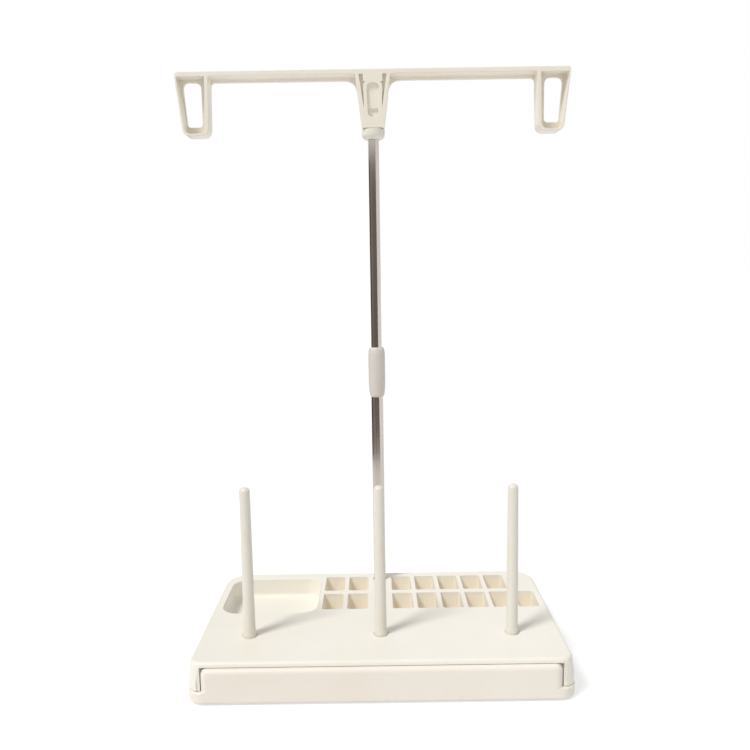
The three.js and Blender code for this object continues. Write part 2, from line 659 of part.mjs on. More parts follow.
// The drawer: an open box behind its front, with a stop tab on each side near the rear.
function drawer() {
  const half = DRAWER_WIDTH / 2;
  const front = PANEL_FRONT_Y + PANEL_SKIN - GAP;
  const bottom = COVER_TOP + RUNNER_HEIGHT + GAP;
  const inner = half - DRAWER_WALL;
  const rearInner = DRAWER_REAR_Y - DRAWER_WALL;
  const rearTop = DECK_UNDERSIDE - PIN_BOSS_DROP - 3 * GAP;
  const outside = block(-half, half, front, DRAWER_REAR_Y, bottom, DRAWER_SIDE_TOP);
  const inside = block(-inner, inner, front + DRAWER_WALL, rearInner, bottom + DRAWER_FLOOR, DECK_TOP);
  const lowRear = block(-inner, inner, rearInner - GAP, DRAWER_REAR_Y + GAP, rearTop, DECK_TOP);
  const tabRear = DRAWER_REAR_Y - STOP_TAB_SETBACK;
  const tabs = [[-half, -inner], [inner, half]].map(([x0, x1]) =>
    block(x0, x1, tabRear - STOP_TAB_LENGTH, tabRear, DRAWER_SIDE_TOP - GAP, PANEL_TOP),
  );
  return joined([cut(outside, [inside, lowRear]), drawerFront(), ...tabs]);
}

function spoolPin(x) {
  const foot = PIN_FOOT_DIAMETER / 2;
  const base = PIN_BASE_DIAMETER / 2;
  const tip = PIN_TIP_DIAMETER / 2;
  const spigot = PIN_SPIGOT_DIAMETER / 2;
  const seat = DECK_TOP - PIN_RECESS_DEPTH;
  const top = DECK_TOP + PIN_HEIGHT;
  const dome = quarterRound(tip, PIN_DOME_HEIGHT, 5).reverse();
  const profile = [
    [0, seat - PIN_SPIGOT_LENGTH],
    [spigot - LEAD_IN, seat - PIN_SPIGOT_LENGTH],
    [spigot, seat - PIN_SPIGOT_LENGTH + LEAD_IN],
    [spigot, seat],
    [foot, seat],
    [foot, DECK_TOP + PIN_FOOT_HEIGHT - PIN_FOOT_BEVEL],
    [base, DECK_TOP + PIN_FOOT_HEIGHT],
    ...dome.map(([inset, drop]) => [tip - inset, top - drop]),
  ];
  profile[profile.length - 1] = [0, top];
  return turned(profile, x, PIN_Y);
}

function tube(outer, bore, z0, z1) {
  const inside = bore / 2;
  const outside = outer / 2;
  return turned([[inside, z0], [outside, z0], [outside, z1], [inside, z1], [inside, z0]], 0, MAST_Y);
}

function mastFootPlug() {
  const flange = LOWER_TUBE_DIAMETER / 2;
  const body = LOWER_TUBE_BORE / 2 - TURNED_GAP;
  const bottom = LOWER_TUBE_BOTTOM - PLUG_FLANGE;
  const top = LOWER_TUBE_BOTTOM + PLUG_LENGTH;
  const profile = [
    [0, bottom],
    [flange, bottom],
    [flange, LOWER_TUBE_BOTTOM],
    [body, LOWER_TUBE_BOTTOM],
    [body, top - LEAD_IN],
    [body - LEAD_IN, top],
    [0, top],
  ];
  return turned(profile, 0, MAST_Y);
}

// The coupler: rounded at both ends, bored for the lower tube, the friction ring and the upper tube.
function mastCoupler() {
  const end = COUPLER_END_DIAMETER / 2;
  const body = COUPLER_DIAMETER / 2;
  const lowerBore = LOWER_TUBE_DIAMETER / 2 + TURNED_GAP;
  const ringBore = RING_DIAMETER / 2 + TURNED_GAP;
  const upperBore = UPPER_TUBE_DIAMETER / 2 + TURNED_GAP;
  const ringBottom = LOWER_TUBE_TOP + GAP;
  const ringTop = ringBottom + RING_HEIGHT;
  const lowerNose = quarterRound(body - end, COUPLER_LOWER_NOSE, 4);
  const upperNose = quarterRound(body - end, COUPLER_UPPER_NOSE, 4).reverse();
  const profile = [
    [lowerBore, COUPLER_BOTTOM],
    [end - COUPLER_BEVEL / 2, COUPLER_BOTTOM],
    ...lowerNose.map(([inset, rise]) => [body - inset, COUPLER_BOTTOM + COUPLER_BEVEL + rise]),
    ...upperNose.map(([inset, rise]) => [body - inset, COUPLER_TOP - COUPLER_BEVEL - rise]),
    [end - COUPLER_BEVEL, COUPLER_TOP],
    [upperBore, COUPLER_TOP],
    [upperBore, ringTop],
    [ringBore, ringTop],
    [ringBore, ringBottom],
    [lowerBore, ringBottom],
    [lowerBore, COUPLER_BOTTOM],
  ];
  return turned(profile, 0, MAST_Y);
}

function couplerFrictionRing() {
  const bottom = LOWER_TUBE_TOP + GAP;
  return tube(RING_DIAMETER, UPPER_TUBE_DIAMETER + 2 * TURNED_GAP, bottom, bottom + RING_HEIGHT);
}

function upperTubeSlider() {
  const flange = LOWER_TUBE_BORE / 2 - TURNED_GAP;
  const body = UPPER_TUBE_BORE / 2 - TURNED_GAP;
  const bottom = UPPER_TUBE_BOTTOM - SLIDER_LENGTH;
  const top = UPPER_TUBE_BOTTOM + SLIDER_SPIGOT;
  const profile = [
    [0, bottom],
    [flange - LEAD_IN, bottom],
    [flange, bottom + LEAD_IN],
    [flange, UPPER_TUBE_BOTTOM],
    [body, UPPER_TUBE_BOTTOM],
    [body, top - LEAD_IN],
    [body - LEAD_IN, top],
    [0, top],
  ];
  return turned(profile, 0, MAST_Y);
}

function mastTopCollar() {
  const socket = UPPER_TUBE_DIAMETER / 2 + TURNED_GAP;
  const outer = COLLAR_DIAMETER / 2;
  const spigot = SPIGOT_DIAMETER / 2;
  const lowerEdge = quarterRound(COLLAR_EDGE_REACH, COLLAR_EDGE_RISE, 5);
  const profile = [
    [0, COLLAR_BOTTOM + COLLAR_SOCKET_DEPTH],
    [socket, COLLAR_BOTTOM + COLLAR_SOCKET_DEPTH],
    [socket, COLLAR_BOTTOM],
    ...lowerEdge.map(([inset, rise]) => [outer - inset, COLLAR_BOTTOM + rise]),
    [outer, COLLAR_TOP - COLLAR_BEVEL],
    [outer - COLLAR_BEVEL, COLLAR_TOP],
    [spigot, COLLAR_TOP],
    [spigot, SPIGOT_TOP - LEAD_IN],
    [spigot - LEAD_IN, SPIGOT_TOP],
    [0, SPIGOT_TOP],
  ];
  return turned(profile, 0, MAST_Y);
}

// Where a straight side from one [x, z] point to another is at a height.
function sideAt([x0, z0], [x1, z1], z) {
  return x0 + ((z - z0) / (z1 - z0)) * (x1 - x0);
}

// The whole bar seen from the front, its straight part ending at a height, with a loop at each end and a leg.
function barOutline(underside, loopFillet, legFillet) {
  const end = BAR_LENGTH / 2;
  const loopBottom = BAR_TOP - LOOP_HEIGHT;
  const foot = end - LOOP_OUTER_LEAN;
  const loopTop = [end - LOOP_TOP_WIDTH, FLANGE_BOTTOM];
  const loopFoot = [foot - LOOP_BOTTOM_WIDTH, loopBottom];
  const legTop = [LEG_TOP_WIDTH / 2, FLANGE_BOTTOM];
  const legFoot = [LEG_BOTTOM_WIDTH / 2, LEG_BOTTOM];
  const half = [
    [end, BAR_TOP, BAR_END_RADIUS],
    [foot, loopBottom, LOOP_BOTTOM_RADIUS],
    [...loopFoot, LOOP_BOTTOM_RADIUS],
    [sideAt(loopTop, loopFoot, underside), underside, loopFillet],
    [sideAt(legTop, legFoot, underside), underside, legFillet],
    [...legFoot, LEG_CORNER_RADIUS],
  ];
  const mirrored = half.map(([x, z, radius]) => [-x, z, radius]).reverse();
  return roundedOutline([...half, ...mirrored]);
}

// A four-sided outline with level top and bottom and its own radius at each.
function taperedOutline(left, right, top, bottom, topRadius, bottomRadius) {
  return roundedOutline([
    [right[0], top, topRadius],
    [right[1], bottom, bottomRadius],
    [left[1], bottom, bottomRadius],
    [left[0], top, topRadius],
  ]);
}

// The hollow inside the rim of an end loop; side is 1 for the right loop and -1 for the left.
function loopHollow(side) {
  const end = BAR_LENGTH / 2;
  const foot = end - LOOP_OUTER_LEAN;
  const outer = [side * (end - RIM), side * (foot - RIM)];
  const inner = [side * (end - LOOP_TOP_WIDTH + INNER_RIM), side * (foot - LOOP_BOTTOM_WIDTH + INNER_RIM)];
  const bottom = BAR_TOP - LOOP_HEIGHT + RIM;
  return taperedOutline(inner, outer, FLANGE_BOTTOM, bottom, HOLLOW_TOP_RADIUS, LOOP_BOTTOM_RADIUS - RIM);
}

// The thread eye through the web of an end loop.
function loopEye(side) {
  const outerTop = BAR_LENGTH / 2 - EYE_END_INSET;
  const outerBottom = outerTop - EYE_OUTER_LEAN;
  const outer = [side * outerTop, side * outerBottom];
  const inner = [side * (outerTop - EYE_TOP_WIDTH), side * (outerBottom - EYE_BOTTOM_WIDTH)];
  const top = BAR_TOP - EYE_DROP;
  return taperedOutline(inner, outer, top, top - EYE_HEIGHT, EYE_TOP_RADIUS, EYE_BOTTOM_RADIUS);
}

// The hollow inside the rim of the middle leg.
function legHollow() {
  const top = LEG_TOP_WIDTH / 2 - INNER_RIM;
  const bottom = LEG_BOTTOM_WIDTH / 2 - INNER_RIM;
  const floor = LEG_BOTTOM + LEG_BAND;
  const [left, right] = [[-top, -bottom], [top, bottom]];
  return taperedOutline(left, right, FLANGE_BOTTOM, floor, HOLLOW_TOP_RADIUS, LEG_CORNER_RADIUS);
}

// The raised oval bezel on the leg, drawn in by a margin.
function bezelOutline(margin) {
  const top = BEZEL_TOP_WIDTH / 2 - margin;
  const bottom = BEZEL_BOTTOM_WIDTH / 2 - margin;
  const high = BAR_TOP - BEZEL_DROP - margin;
  const low = BAR_TOP - BEZEL_DROP - BEZEL_HEIGHT + margin;
  const [left, right] = [[-top, -bottom], [top, bottom]];
  return taperedOutline(left, right, high, low, top * OVAL_ROUNDNESS, bottom * OVAL_ROUNDNESS);
}

// The bezel's recess, its deeper pocket low down, and the bore that the collar's spigot turns in.
function bezelHollows() {
  const before = BAR_FRONT_Y - GAP;
  const pocketRear = BAR_FRONT_Y + POCKET_DEPTH;
  const pocketTop = BAR_TOP - BEZEL_DROP - BEZEL_HEIGHT + POCKET_HEIGHT;
  const lowerPart = block(-BEZEL_TOP_WIDTH, BEZEL_TOP_WIDTH, before, pocketRear + GAP, LEG_BOTTOM, pocketTop);
  const inside = bezelOutline(BEZEL_WALL);
  const recess = plate(inside, before, BAR_FRONT_Y + BEZEL_RECESS);
  const pocket = plate(inside, before, pocketRear).intersect(lowerPart);
  const bore = rod(SPIGOT_DIAMETER / 2 + TURNED_GAP, COLLAR_TOP, SPIGOT_TOP + GAP, 0, MAST_Y);
  return [recess, pocket, bore];
}

// The bar has an angled section: a front part as low as the flange, and a deeper web along the rear.
function threadGuideBar() {
  const frontPart = plate(barOutline(FLANGE_BOTTOM, RIM_FILLET, RIM_FILLET), BAR_FRONT_Y, BAR_REAR_Y, BAR_EDGE);
  const web = plate(barOutline(BAR_BOTTOM, LOOP_FILLET, LEG_FILLET), WEB_FRONT_Y, BAR_REAR_Y, BAR_EDGE);
  const before = BAR_FRONT_Y - GAP;
  const behind = BAR_REAR_Y + GAP;
  const legWebFront = BAR_FRONT_Y + LEG_WEB_SETBACK;
  const frame = cut(joined([frontPart, web]), [
    plate(loopHollow(1), before, WEB_FRONT_Y),
    plate(loopHollow(-1), before, WEB_FRONT_Y),
    plate(loopEye(1), before, behind),
    plate(loopEye(-1), before, behind),
    plate(legHollow(), before, legWebFront),
    plate(legHollow(), legWebFront + WEB, behind),
  ]);
  const bezel = plate(bezelOutline(0), BAR_FRONT_Y, BAR_REAR_Y);
  const half = BLOCK_WIDTH / 2;
  const blockTop = FLANGE_BOTTOM + BAR_EDGE;
  const topBlock = block(-half, half, BAR_FRONT_Y, legWebFront, BAR_TOP - BLOCK_HEIGHT, blockTop);
  return cut(joined([frame, bezel, topBlock]), bezelHollows());
}

const IVORY = 0xf1eddf;
const WARM_IVORY = 0xe9e2d3;
const COUPLER_IVORY = 0xdfd8ce;
const COLLAR_GREY = 0xd4cfc2;
const STEEL = 0x8a8178;
const DARK_RUBBER = 0x2b2b2b;
const SCREW_STEEL = 0x9a9a9c;
const SLIDER_WHITE = 0xe6e4de;

const lowerTube = tube(LOWER_TUBE_DIAMETER, LOWER_TUBE_BORE, LOWER_TUBE_BOTTOM, LOWER_TUBE_TOP);
const upperTube = tube(UPPER_TUBE_DIAMETER, UPPER_TUBE_BORE, UPPER_TUBE_BOTTOM, UPPER_TUBE_TOP);

const stand = new THREE.Group();
stand.name = "thread_spool_stand";
stand.add(
  piece("base_housing", baseHousing(), IVORY, 0.45, 0),
  piece("bottom_cover", bottomCover(), IVORY, 0.5, 0),
  piece("drawer", drawer(), WARM_IVORY, 0.45, 0),
  piece("spool_pin_left", spoolPin(-PIN_SPACING), IVORY, 0.4, 0),
  piece("spool_pin_centre", spoolPin(0), IVORY, 0.4, 0),
  piece("spool_pin_right", spoolPin(PIN_SPACING), IVORY, 0.4, 0),
  piece("mast_lower_tube", lowerTube, STEEL, 0.3, 1),
  piece("mast_foot_plug", mastFootPlug(), SLIDER_WHITE, 0.5, 0),
  piece("mast_coupler", mastCoupler(), COUPLER_IVORY, 0.4, 0),
  piece("coupler_friction_ring", couplerFrictionRing(), DARK_RUBBER, 0.8, 0),
  piece("mast_upper_tube", upperTube, STEEL, 0.3, 1),
  piece("upper_tube_slider", upperTubeSlider(), SLIDER_WHITE, 0.5, 0),
  piece("mast_top_collar", mastTopCollar(), COLLAR_GREY, 0.45, 0),
  piece("thread_guide_bar", threadGuideBar(), IVORY, 0.45, 0),
);
Object.entries(SCREW_SITES).forEach(([name, site]) => {
  stand.add(piece(`cover_screw_${name}`, coverScrew(site), SCREW_STEEL, 0.35, 1));
});
Object.entries(FOOT_SITES).forEach(([name, site]) => {
  stand.add(piece(`rubber_foot_${name}`, rubberFoot(site), DARK_RUBBER, 0.85, 0));
});

export default stand;
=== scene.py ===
"""The thread spool stand: finer turned and moulded surfaces, materials, camera, lights and floor."""
from math import cos, pi, radians, sin

import bmesh
import bpy
from mathutils import Matrix, Vector


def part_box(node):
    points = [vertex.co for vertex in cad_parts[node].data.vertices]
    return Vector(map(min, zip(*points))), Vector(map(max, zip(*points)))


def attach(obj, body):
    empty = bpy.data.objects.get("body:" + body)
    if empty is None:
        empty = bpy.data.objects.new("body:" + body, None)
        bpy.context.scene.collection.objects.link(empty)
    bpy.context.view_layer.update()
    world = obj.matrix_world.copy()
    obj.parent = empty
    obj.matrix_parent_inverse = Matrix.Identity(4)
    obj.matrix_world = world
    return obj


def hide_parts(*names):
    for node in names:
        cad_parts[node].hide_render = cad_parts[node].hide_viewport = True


# Sizes are in metres and angles in radians
MM = 0.001

# Fineness of the surfaces
TURNED_STEPS = 96
ROUND_STEPS = 10
FLARE_STEPS = 8
SMOOTH_ANGLE = radians(32)

# Mouldings: joining of the solid's points, widths and angle of the softened edges
WELD_DISTANCE = 0.02 * MM
FLAT_ANGLE = radians(0.4)
EDGE_ANGLE = radians(50)
EDGE_SEGMENTS = 2
BASE_EDGE = 0.2 * MM
BAR_EDGE = 0.18 * MM

# Spool pins: radii, broken edges and heights
PIN_FOOT = 3.8 * MM
PIN_BASE = 3.4 * MM
PIN_TIP = 3.0 * MM
PIN_SPIGOT = 2.5 * MM
PIN_LEAD_IN = 0.6 * MM
PIN_FOOT_EDGE = 0.2 * MM
PIN_SEAT_HEIGHT = 6.4 * MM
PIN_FLARE_START = 0.8 * MM
PIN_FLARE_HEIGHT = 4.7 * MM
PIN_DOME_HEIGHT = 2.4 * MM

# Mast: walls, radii, edges and heights of the tubes, the coupler and the collar
LOWER_TUBE_WALL = 0.3 * MM
UPPER_TUBE_WALL = 0.4 * MM
TUBE_EDGE = 0.1 * MM
COUPLER_END = 4.4 * MM
COUPLER_BEVEL = 0.4 * MM
COUPLER_LOWER_NOSE = 12 * MM
COUPLER_UPPER_NOSE = 5.5 * MM
COUPLER_LOWER_BORE = 4.05 * MM
COUPLER_UPPER_BORE = 3.55 * MM
RING_BORE = 4.85 * MM
RING_RISE = 27.1 * MM
RING_HEIGHT = 3.5 * MM
COLLAR_SOCKET = 3.55 * MM
COLLAR_SOCKET_DEPTH = 4.5 * MM
COLLAR_SPIGOT = 2.5 * MM
COLLAR_ROUND = 3.4 * MM
COLLAR_EDGE = 0.3 * MM
COLLAR_HEIGHT = 6.3 * MM

# Region of the bobbin cells that gets the painted bounce light: its sides, the fade at them, and how far
# below the deck it begins and is full
CELLS_LEFT_X = -40.5 * MM
CELLS_FRONT_Y = 2.2 * MM
CELLS_RIGHT_MARGIN = 4.5 * MM
CELLS_REAR_MARGIN = 8 * MM
CELLS_BOTTOM_Z = 6.5 * MM
CELLS_FADE = 0.5 * MM
CELLS_TOP_DROP = 0.5 * MM
CELLS_FULL_DROP = 3 * MM

# Camera: place, tilt down, turn and roll
CAMERA_PLACE = (-0.0005, -0.45095, 0.2304)
CAMERA_PITCH = 0.1279
CAMERA_YAW = -0.0016
CAMERA_ROLL = -0.015
SENSOR_WIDTH = 36.0
FOCAL_LENGTH = 36.41

# Colours, linear
HOUSING_COLOUR = (0.905, 0.87, 0.785)
# Painted bounce light: the paler, warmer colour painted on the walls and floors of the cells
CELL_BOUNCE_LIGHT_COLOUR = (0.965, 0.9, 0.78)
# Painted shade: the drawer a little darker than the housing, for the lesser light on its upright front
SHADED_DRAWER_COLOUR = (0.895, 0.84, 0.75)
PIN_COLOUR = (0.815, 0.78, 0.695)
BAR_COLOUR = (0.88, 0.83, 0.73)
COUPLER_COLOUR = (0.69, 0.645, 0.595)
COLLAR_COLOUR = (0.81, 0.775, 0.68)
PLUG_COLOUR = (0.78, 0.77, 0.73)
STEEL_COLOUR = (0.56, 0.51, 0.47)
ZINC_COLOUR = (0.55, 0.55, 0.56)
RUBBER_COLOUR = (0.02, 0.02, 0.02)

# Plastic: roughness of each kind, and the features per metre of its flow marks, gloss and grain
SATIN = 0.38
SMOOTH_SATIN = 0.35
POLISHED = 0.32
PLAIN = 0.5
FLOW_SCALE = 18
GLOSS_SCALE = 90
GRAIN_SCALE = 2600
GRAIN_DEPTH = 0.04 * MM
PLASTIC_IOR = 1.49

# How much darker the flow marks are than the plastic, on the outside and in the cells
FLOW_TINT = 0.03
CELL_FLOW_TINT = 0.02

# Light: the surround's own strength, and a soft key from the front left
SURROUND = 0.5
KEY_STRENGTH = 1.95
KEY_FROM = (-0.55, -0.45, 1.0)
KEY_SPREAD = radians(15)

# Floor: its side, its colour as it lights the stand, and its colour and own glow as it is seen
FLOOR_SIZE = 60
FLOOR_COLOUR = 0.88
SEEN_FLOOR_COLOUR = 0.45
SEEN_FLOOR_GLOW = 0.6

# Glowing card that paints a reflection on the tubes: its arc about the mast, its height and the heights
# over which it fades out
CARD_RADIUS = 0.45
CARD_FROM = radians(-150)
CARD_TO = radians(38)
CARD_STEPS = 40
CARD_HEIGHT = 0.42
CARD_FADE_START = 0.366
CARD_FADE_END = 0.4

# Its tint, and the brightness of its painted reflection bands from the back to the front
CARD_TINT = (1, 0.87, 0.8)
CARD_BANDS = [(0.1, 0.05), (0.3, 0.07), (0.44, 0.19), (0.62, 0.27), (0.74, 0.26), (0.88, 0.19), (1.0, 0.19)]

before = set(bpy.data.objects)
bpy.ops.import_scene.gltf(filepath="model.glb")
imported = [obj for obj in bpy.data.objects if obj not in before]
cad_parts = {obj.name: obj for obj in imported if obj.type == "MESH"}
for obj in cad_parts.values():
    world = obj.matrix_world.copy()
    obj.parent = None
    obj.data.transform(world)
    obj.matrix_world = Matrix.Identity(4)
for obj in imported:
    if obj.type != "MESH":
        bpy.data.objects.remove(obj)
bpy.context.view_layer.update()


def shader(name):
    """A new material with its node tree and its principled shader."""
    material = bpy.data.materials.new(name)
    material.use_nodes = True
    tree = material.node_tree
    return material, tree, tree.nodes["Principled BSDF"]


def bare_material(name):
    """A new material without nodes, and its node tree."""
    material = bpy.data.materials.new(name)
    material.use_nodes = True
    material.node_tree.nodes.clear()
    return material, material.node_tree


def object_noise(tree, scale, detail, stretch=(1, 1, 1)):
    """Noise in the piece's own space, in features per metre, drawn out along an axis by stretch."""
    place = tree.nodes.new("ShaderNodeTexCoord")
    mapping = tree.nodes.new("ShaderNodeMapping")
    mapping.inputs["Scale"].default_value = stretch
    noise = tree.nodes.new("ShaderNodeTexNoise")
    noise.inputs["Scale"].default_value = scale
    noise.inputs["Detail"].default_value = detail
    tree.links.new(place.outputs["Object"], mapping.inputs["Vector"])
    tree.links.new(mapping.outputs["Vector"], noise.inputs["Vector"])
    return noise.outputs["Fac"]


def own_axes(tree):
    """The X, Y and Z of a point in the piece's own space."""
    place = tree.nodes.new("ShaderNodeTexCoord")
    split = tree.nodes.new("ShaderNodeSeparateXYZ")
    tree.links.new(place.outputs["Object"], split.inputs["Vector"])
    return split.outputs


def ramp(tree, factor, low, high):
    """A colour ramp from one colour to another over the middle of a noise."""
    node = tree.nodes.new("ShaderNodeValToRGB")
    node.color_ramp.elements[0].position = 0.3
    node.color_ramp.elements[0].color = (*low, 1)
    node.color_ramp.elements[1].position = 0.7
    node.color_ramp.elements[1].color = (*high, 1)
    tree.links.new(factor, node.inputs["Fac"])
    return node.outputs["Color"]


def spread(tree, factor, low, high):
    """A factor from 0 to 1 brought to a range."""
    node = tree.nodes.new("ShaderNodeMapRange")
    node.inputs["To Min"].default_value = low
    node.inputs["To Max"].default_value = high
    tree.links.new(factor, node.inputs["Value"])
    return node.outputs["Result"]


def rise(tree, value, start, end):
    """A factor that goes from 0, where a value is at its start, to 1 at its end, and stays there."""
    node = tree.nodes.new("ShaderNodeMapRange")
    node.inputs["From Min"].default_value = start
    node.inputs["From Max"].default_value = end
    tree.links.new(value, node.inputs["Value"])
    return node.outputs["Result"]


def combined(tree, operation, first, second):
    """Two factors put together by a math operation."""
    node = tree.nodes.new("ShaderNodeMath")
    node.operation = operation
    tree.links.new(first, node.inputs[0])
    tree.links.new(second, node.inputs[1])
    return node.outputs[0]


def bump(tree, surface, height, depth, strength):
    """Fine relief on a surface from a height factor."""
    node = tree.nodes.new("ShaderNodeBump")
    node.inputs["Distance"].default_value = depth
    node.inputs["Strength"].default_value = strength
    tree.links.new(height, node.inputs["Height"])
    tree.links.new(node.outputs["Normal"], surface.inputs["Normal"])


def darker(colour, tint):
    """A colour taken down by a tint, the blue most, as in thicker or aged plastic."""
    return tuple(channel * (1 - tint * (1 + 0.6 * k)) for k, channel in enumerate(colour))


def scaled(colour, factor):
    """A colour with each channel times a factor."""
    return tuple(factor * channel for channel in colour)


def moulded_plastic(name, colour, roughness=SATIN):
    """Moulded plastic: faint flow marks in the colour, uneven gloss and a fine grain."""
    material, tree, surface = shader(name)
    flow = object_noise(tree, FLOW_SCALE, detail=3)
    tree.links.new(ramp(tree, flow, darker(colour, FLOW_TINT), colour), surface.inputs["Base Color"])
    gloss = object_noise(tree, GLOSS_SCALE, detail=4)
    tree.links.new(spread(tree, gloss, roughness - 0.07, roughness + 0.09), surface.inputs["Roughness"])
    bump(tree, surface, object_noise(tree, GRAIN_SCALE, detail=2), GRAIN_DEPTH, strength=0.35)
    surface.inputs["IOR"].default_value = PLASTIC_IOR
    return material


def inside_cells(tree):
    """Where the painted bounce light goes: 1 on the walls and floors of the bobbin cells, fading to 0 at
    the deck, and 0 everywhere else.
    """
    axes = own_axes(tree)
    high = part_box("base_housing")[1]
    right = high.x - CELLS_RIGHT_MARGIN
    rear = high.y - CELLS_REAR_MARGIN
    sides = [
        ("X", CELLS_LEFT_X, CELLS_LEFT_X + CELLS_FADE),
        ("X", right, right - CELLS_FADE),
        ("Y", CELLS_FRONT_Y, CELLS_FRONT_Y + CELLS_FADE),
        ("Y", rear, rear - CELLS_FADE),
        ("Z", CELLS_BOTTOM_Z, CELLS_BOTTOM_Z + CELLS_FADE),
    ]
    share = rise(tree, axes["Z"], high.z - CELLS_TOP_DROP, high.z - CELLS_FULL_DROP)
    for axis, outside, inside in sides:
        share = combined(tree, "MULTIPLY", share, rise(tree, axes[axis], outside, inside))
    return share


def housing_material():
    """The moulded plastic of the housing, with painted bounce light: a warmer, paler colour in its cells.
    """
    material = moulded_plastic("housing_plastic", HOUSING_COLOUR)
    tree = material.node_tree
    surface = tree.nodes["Principled BSDF"]
    deck = surface.inputs["Base Color"].links[0].from_socket
    # Painted bounce light: a paler, warmer colour mixed in over the cells
    flow = object_noise(tree, FLOW_SCALE, detail=3)
    bounce_light = ramp(tree, flow, darker(CELL_BOUNCE_LIGHT_COLOUR, CELL_FLOW_TINT), CELL_BOUNCE_LIGHT_COLOUR)
    blend = tree.nodes.new("ShaderNodeMix")
    blend.data_type = "RGBA"
    tree.links.new(inside_cells(tree), blend.inputs["Factor"])
    tree.links.new(deck, blend.inputs["A"])
    tree.links.new(bounce_light, blend.inputs["B"])
    tree.links.new(blend.outputs["Result"], surface.inputs["Base Color"])
    return material


def drawn_steel(name):
    """Bright drawn tube: long fine scratches along it and faint handling marks."""
    material, tree, surface = shader(name)
    streak = object_noise(tree, scale=900, detail=3, stretch=(1, 1, 0.02))
    colour = ramp(tree, streak, STEEL_COLOUR, scaled(STEEL_COLOUR, 1.12))
    tree.links.new(colour, surface.inputs["Base Color"])
    marks = object_noise(tree, scale=60, detail=4)
    tree.links.new(spread(tree, marks, low=0.1, high=0.2), surface.inputs["Roughness"])
    bump(tree, surface, streak, depth=0.01 * MM, strength=0.1)
    surface.inputs["Metallic"].default_value = 1
    return material


def plain_rubber(name):
    """Dull black rubber with paler patches and a coarse grain."""
    material, tree, surface = shader(name)
    patches = object_noise(tree, scale=300, detail=4)
    colour = ramp(tree, patches, RUBBER_COLOUR, scaled(RUBBER_COLOUR, 2.2))
    tree.links.new(colour, surface.inputs["Base Color"])
    grain = object_noise(tree, scale=1500, detail=3)
    bump(tree, surface, grain, depth=0.08 * MM, strength=0.5)
    surface.inputs["Roughness"].default_value = 0.8
    return material


def zinc_plate(name):
    """Zinc plating with a faint spangle in its colour and gloss."""
    material, tree, surface = shader(name)
    spangle = object_noise(tree, scale=700, detail=2)
    colour = ramp(tree, spangle, scaled(ZINC_COLOUR, 0.8), ZINC_COLOUR)
    tree.links.new(colour, surface.inputs["Base Color"])
    tree.links.new(spread(tree, spangle, low=0.28, high=0.42), surface.inputs["Roughness"])
    surface.inputs["Metallic"].default_value = 1
    return material


def smooth(mesh):
    """Smooth shading that keeps the edges above the smoothing angle crisp."""
    mesh.shade_smooth()
    mesh.set_sharp_from_angle(angle=SMOOTH_ANGLE)


def paint(piece, material):
    """Gives a piece one material and no other."""
    piece.data.materials.clear()
    piece.data.materials.append(material)


def dress(piece, body, node, material):
    """Puts a new piece in the place of a CAD node."""
    paint(piece, material)
    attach(piece, body)
    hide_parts(node)


def new_object(name, data):
    """An object in the scene with its mesh, camera or light."""
    added = bpy.data.objects.new(name, data)
    bpy.context.scene.collection.objects.link(added)
    return added


def finished_mesh(name, work):
    """A mesh from the faces built so far."""
    mesh = bpy.data.meshes.new(name)
    work.to_mesh(mesh)
    work.free()
    return mesh


def turned(name, profile, centre):
    """A closed turned piece from its [radius, z] profile, about the vertical through centre."""
    work = bmesh.new()
    angles = [2 * pi * k / TURNED_STEPS for k in range(TURNED_STEPS)]
    rings = []
    for radius, z in profile:
        if radius == 0:
            rings.append([work.verts.new((centre[0], centre[1], z))] * TURNED_STEPS)
            continue
        places = [(centre[0] + radius * cos(a), centre[1] + radius * sin(a), z) for a in angles]
        rings.append([work.verts.new(place) for place in places])
    hollow = profile[0] == profile[-1]
    if hollow:
        for vertex in rings.pop():
            work.verts.remove(vertex)
        rings.append(rings[0])
    for lower, upper in zip(rings, rings[1:]):
        for k in range(TURNED_STEPS):
            following = (k + 1) % TURNED_STEPS
            corners = [lower[k], lower[following], upper[following], upper[k]]
            work.faces.new(list(dict.fromkeys(corners)))
    mesh = finished_mesh(name, work)
    smooth(mesh)
    return new_object(name, mesh)


def quarter_round(reach, height):
    """[inset, height] pairs along a quarter of an ellipse, from (reach, 0) to (0, height)."""
    angles = [k / ROUND_STEPS * pi / 2 for k in range(ROUND_STEPS + 1)]
    return [(reach * (1 - sin(a)), height * (1 - cos(a))) for a in angles]


def moulding(node, name, edge):
    """A copy of a CAD node's mesh with whole flat faces, softened edges and smooth curved faces."""
    piece = new_object(name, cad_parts[node].data.copy())
    work = bmesh.new()
    work.from_mesh(piece.data)
    bmesh.ops.remove_doubles(work, verts=work.verts, dist=WELD_DISTANCE)
    bmesh.ops.dissolve_limit(work, angle_limit=FLAT_ANGLE, verts=work.verts, edges=work.edges)
    work.to_mesh(piece.data)
    work.free()
    smooth(piece.data)
    softened = piece.modifiers.new("softened_edges", "BEVEL")
    softened.width = edge
    softened.segments = EDGE_SEGMENTS
    softened.limit_method = "ANGLE"
    softened.angle_limit = EDGE_ANGLE
    softened.use_clamp_overlap = False
    softened.miter_outer = "MITER_ARC"
    weighted = piece.modifiers.new("flat_faces", "WEIGHTED_NORMAL")
    weighted.keep_sharp = True
    return piece


def centre_of(node):
    """The centre of a CAD node's box."""
    low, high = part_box(node)
    return (low + high) / 2


def pin_flare(seat):
    """[radius, z] pairs of the smooth flare from a pin's foot to its straight part."""
    pairs = []
    for k in range(FLARE_STEPS + 1):
        share = k / FLARE_STEPS
        radius = PIN_BASE + (PIN_FOOT - PIN_BASE) * (1 + cos(pi * share)) / 2
        pairs.append((radius, seat + PIN_FLARE_START + PIN_FLARE_HEIGHT * share))
    return pairs


